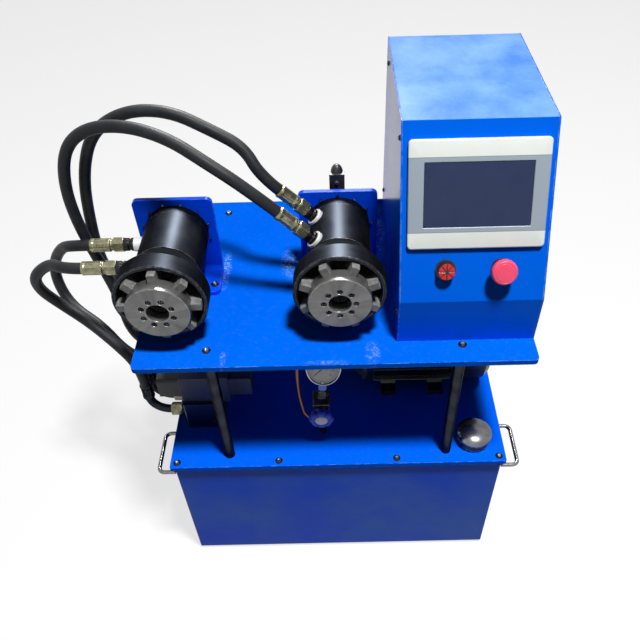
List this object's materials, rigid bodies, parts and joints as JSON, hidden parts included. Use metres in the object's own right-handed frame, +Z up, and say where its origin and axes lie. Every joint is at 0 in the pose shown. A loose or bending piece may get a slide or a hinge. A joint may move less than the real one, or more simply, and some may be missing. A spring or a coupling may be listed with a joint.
{
  "type": "pipe crimping machine",
  "caption": "Bench hydraulic machine that crimps ferrules on hoses and pipes: crimping heads on a deck over an oil tank, with hoses, valves, gauge and operator panel.",
  "frame": {"origin": "on the floor, under the centre of the machine's footprint", "axes": "+Z up, +X to the right of a person in front, the front with the crimping bores faces -Y"},
  "size_m": [0.8714, 0.441, 0.951],
  "materials": {
    "bezel_plastic": "smooth",
    "black_oxide": "oiled black oxide",
    "black_plastic": "moulded",
    "blue_paint": "satin paint",
    "blue_plastic": "moulded",
    "chrome": "polished",
    "dark_bar": "smooth drawn bar",
    "dark_blue_paint": "satin paint",
    "ground_steel": "turned and ground",
    "hose_rubber": "matt",
    "motor_paint": "satin paint over aluminium",
    "needle_paint": "matt",
    "red_lens": "clear red",
    "red_plastic": "smooth",
    "screen_glass": "dark",
    "tool_steel": "rough heat-treated",
    "valve_paint": "semi-gloss",
    "zinc": "olive zinc plating"
  },
  "bodies": {
    "frame": {"box_side_covers": "blue_paint", "button_screws": "black_oxide", "control_box": "blue_paint", "core_tubes": "ground_steel", "deck_pillars": "dark_bar", "deck_plate": "blue_paint", "directional_valves": "valve_paint", "electric_motor": "motor_paint", "fan_cowl": "motor_paint", "filler_neck": "chrome", "gauge_valve": "ground_steel", "head_brackets": "blue_paint", "head_fasteners": "black_oxide", "hose_fittings": "zinc", "hose_left_lower": "hose_rubber", "hose_left_upper": "hose_rubber", "hose_right_lower": "hose_rubber", "hose_right_upper": "hose_rubber", "lamp_lens": "red_lens", "left_barrel": "black_oxide", "left_front_disc": "ground_steel", "oil_pump": "motor_paint", "operator_collars": "chrome", "panel_bezel": "bezel_plastic", "panel_screen": "screen_glass", "port_adapters": "black_oxide", "pressure_gauge": "chrome", "rear_caps": "black_oxide", "right_barrel": "black_oxide", "right_front_disc": "ground_steel", "stroke_sensor": "black_plastic", "tank_handles": "chrome", "tank_shell": "dark_blue_paint", "tank_top_plate": "blue_paint", "valve_manifold": "dark_blue_paint"},
    "left_ram": {"left_piston": "ground_steel", "left_closing_cone": "black_oxide"},
    "right_ram": {"right_piston": "ground_steel", "right_closing_cone": "black_oxide"},
    "left_jaw_1": {"left_jaw_1": "tool_steel"},
    "left_jaw_2": {"left_jaw_2": "tool_steel"},
    "left_jaw_3": {"left_jaw_3": "tool_steel"},
    "left_jaw_4": {"left_jaw_4": "tool_steel"},
    "left_jaw_5": {"left_jaw_5": "tool_steel"},
    "left_jaw_6": {"left_jaw_6": "tool_steel"},
    "left_jaw_7": {"left_jaw_7": "tool_steel"},
    "left_jaw_8": {"left_jaw_8": "tool_steel"},
    "right_jaw_1": {"right_jaw_1": "tool_steel"},
    "right_jaw_2": {"right_jaw_2": "tool_steel"},
    "right_jaw_3": {"right_jaw_3": "tool_steel"},
    "right_jaw_4": {"right_jaw_4": "tool_steel"},
    "right_jaw_5": {"right_jaw_5": "tool_steel"},
    "right_jaw_6": {"right_jaw_6": "tool_steel"},
    "right_jaw_7": {"right_jaw_7": "tool_steel"},
    "right_jaw_8": {"right_jaw_8": "tool_steel"},
    "estop": {"estop_button": "red_plastic"},
    "handwheel": {"valve_handwheel": "blue_plastic"},
    "oil_cap": {"filler_cap": "chrome"},
    "fan": {"motor_fan": "black_plastic"},
    "needle": {"gauge_needle": "needle_paint"}
  },
  "joints": [
    {"name": "left_ram_slide", "type": "slide", "parent": "frame", "child": "left_ram", "axis": [0, -1, 0], "range_m": [0, 0.0175]},
    {"name": "left_jaw_1_slide", "type": "slide", "parent": "frame", "child": "left_jaw_1", "axis": [-1, 0, 0], "range_m": [0, 0.00471]},
    {"name": "left_jaw_2_slide", "type": "slide", "parent": "frame", "child": "left_jaw_2", "axis": [-0.7071, 0, -0.7071], "range_m": [0, 0.00471]},
    {"name": "left_jaw_3_slide", "type": "slide", "parent": "frame", "child": "left_jaw_3", "axis": [0, 0, -1], "range_m": [0, 0.00471]},
    {"name": "left_jaw_4_slide", "type": "slide", "parent": "frame", "child": "left_jaw_4", "axis": [0.7071, 0, -0.7071], "range_m": [0, 0.00471]},
    {"name": "left_jaw_5_slide", "type": "slide", "parent": "frame", "child": "left_jaw_5", "axis": [1, 0, 0], "range_m": [0, 0.00471]},
    {"name": "left_jaw_6_slide", "type": "slide", "parent": "frame", "child": "left_jaw_6", "axis": [0.7071, 0, 0.7071], "range_m": [0, 0.00471]},
    {"name": "left_jaw_7_slide", "type": "slide", "parent": "frame", "child": "left_jaw_7", "axis": [0, 0, 1], "range_m": [0, 0.00471]},
    {"name": "left_jaw_8_slide", "type": "slide", "parent": "frame", "child": "left_jaw_8", "axis": [-0.7071, 0, 0.7071], "range_m": [0, 0.00471]},
    {"name": "right_ram_slide", "type": "slide", "parent": "frame", "child": "right_ram", "axis": [0, -1, 0], "range_m": [0, 0.0175]},
    {"name": "right_jaw_1_slide", "type": "slide", "parent": "frame", "child": "right_jaw_1", "axis": [-0.9239, 0, -0.3827], "range_m": [0, 0.00471]},
    {"name": "right_jaw_2_slide", "type": "slide", "parent": "frame", "child": "right_jaw_2", "axis": [-0.3827, 0, -0.9239], "range_m": [0, 0.00471]},
    {"name": "right_jaw_3_slide", "type": "slide", "parent": "frame", "child": "right_jaw_3", "axis": [0.3827, 0, -0.9239], "range_m": [0, 0.00471]},
    {"name": "right_jaw_4_slide", "type": "slide", "parent": "frame", "child": "right_jaw_4", "axis": [0.9239, 0, -0.3827], "range_m": [0, 0.00471]},
    {"name": "right_jaw_5_slide", "type": "slide", "parent": "frame", "child": "right_jaw_5", "axis": [0.9239, 0, 0.3827], "range_m": [0, 0.00471]},
    {"name": "right_jaw_6_slide", "type": "slide", "parent": "frame", "child": "right_jaw_6", "axis": [0.3827, 0, 0.9239], "range_m": [0, 0.00471]},
    {"name": "right_jaw_7_slide", "type": "slide", "parent": "frame", "child": "right_jaw_7", "axis": [-0.3827, 0, 0.9239], "range_m": [0, 0.00471]},
    {"name": "right_jaw_8_slide", "type": "slide", "parent": "frame", "child": "right_jaw_8", "axis": [-0.9239, 0, 0.3827], "range_m": [0, 0.00471]},
    {"name": "estop_press", "type": "slide", "parent": "frame", "child": "estop", "axis": [0, 0.9158, -0.4016], "range_m": [0, 0.005], "stiffness_N_per_m": 1000},
    {"name": "handwheel_turn", "type": "hinge", "parent": "frame", "child": "handwheel", "pos_m": [-0.028, -0.163, 0.415], "axis": [0, -1, 0], "range_deg": [0, 540]},
    {"name": "oil_cap_lift", "type": "slide", "parent": "frame", "child": "oil_cap", "axis": [0, 0, 1], "range_m": [0, 0.04]},
    {"name": "fan_spin", "type": "hinge", "parent": "frame", "child": "fan", "pos_m": [0.2, 0.025, 0.425], "axis": [1, 0, 0], "continuous": true},
    {"name": "needle_sweep", "type": "hinge", "parent": "frame", "child": "needle", "pos_m": [-0.02239, -0.095, 0.47352], "axis": [0, 0.8387, -0.5446], "range_deg": [0, 270], "stiffness_Nm_per_rad": 0.00001}
  ],
  "couplings": [
    {"joint": "left_jaw_1_slide", "follows": "left_ram_slide", "ratio": 0.26795},
    {"joint": "left_jaw_2_slide", "follows": "left_ram_slide", "ratio": 0.26795},
    {"joint": "left_jaw_3_slide", "follows": "left_ram_slide", "ratio": 0.26795},
    {"joint": "left_jaw_4_slide", "follows": "left_ram_slide", "ratio": 0.26795},
    {"joint": "left_jaw_5_slide", "follows": "left_ram_slide", "ratio": 0.26795},
    {"joint": "left_jaw_6_slide", "follows": "left_ram_slide", "ratio": 0.26795},
    {"joint": "left_jaw_7_slide", "follows": "left_ram_slide", "ratio": 0.26795},
    {"joint": "left_jaw_8_slide", "follows": "left_ram_slide", "ratio": 0.26795},
    {"joint": "right_jaw_1_slide", "follows": "right_ram_slide", "ratio": 0.26795},
    {"joint": "right_jaw_2_slide", "follows": "right_ram_slide", "ratio": 0.26795},
    {"joint": "right_jaw_3_slide", "follows": "right_ram_slide", "ratio": 0.26795},
    {"joint": "right_jaw_4_slide", "follows": "right_ram_slide", "ratio": 0.26795},
    {"joint": "right_jaw_5_slide", "follows": "right_ram_slide", "ratio": 0.26795},
    {"joint": "right_jaw_6_slide", "follows": "right_ram_slide", "ratio": 0.26795},
    {"joint": "right_jaw_7_slide", "follows": "right_ram_slide", "ratio": 0.26795},
    {"joint": "right_jaw_8_slide", "follows": "right_ram_slide", "ratio": 0.26795}
  ]
}
